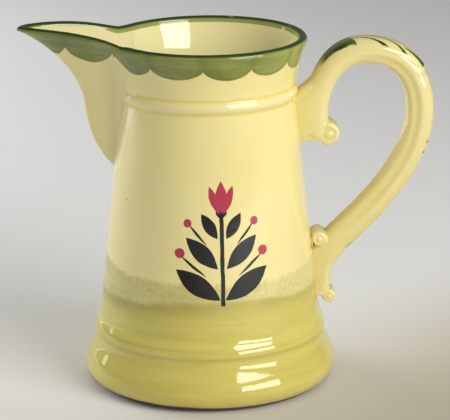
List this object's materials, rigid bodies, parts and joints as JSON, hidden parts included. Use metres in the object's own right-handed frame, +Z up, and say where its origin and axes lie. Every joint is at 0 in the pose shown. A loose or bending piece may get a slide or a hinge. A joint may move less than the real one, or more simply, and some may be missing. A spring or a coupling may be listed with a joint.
{
  "type": "pitcher",
  "caption": "Glazed earthenware pitcher with a tapered body on a rolled foot, a pointed pouring spout and a scrolled loop handle.",
  "frame": {"origin": "centre of the foot ring's resting face, on the axis of the body", "axes": "+Z up along the axis of the body, +X from that axis to the handle, -X to the tip of the spout, +Y across"},
  "size_m": [0.2105, 0.1292, 0.1864],
  "materials": {
    "glazed_body": "clear gloss glaze over a pale yellow ground, with green brushed bands",
    "glazed_spout": "clear gloss glaze over a pale yellow ground, with a green brushed edge",
    "glazed_handle": "clear gloss glaze over a pale yellow ground, with green brush strokes",
    "fired_slip": "fired matt slip"
  },
  "bodies": {
    "root": {"body": "glazed_body", "spout": "glazed_spout", "handle": "glazed_handle", "spout_slip": "fired_slip", "upper_handle_slip": "fired_slip", "lower_handle_slip": "fired_slip"}
  },
  "joints": []
}
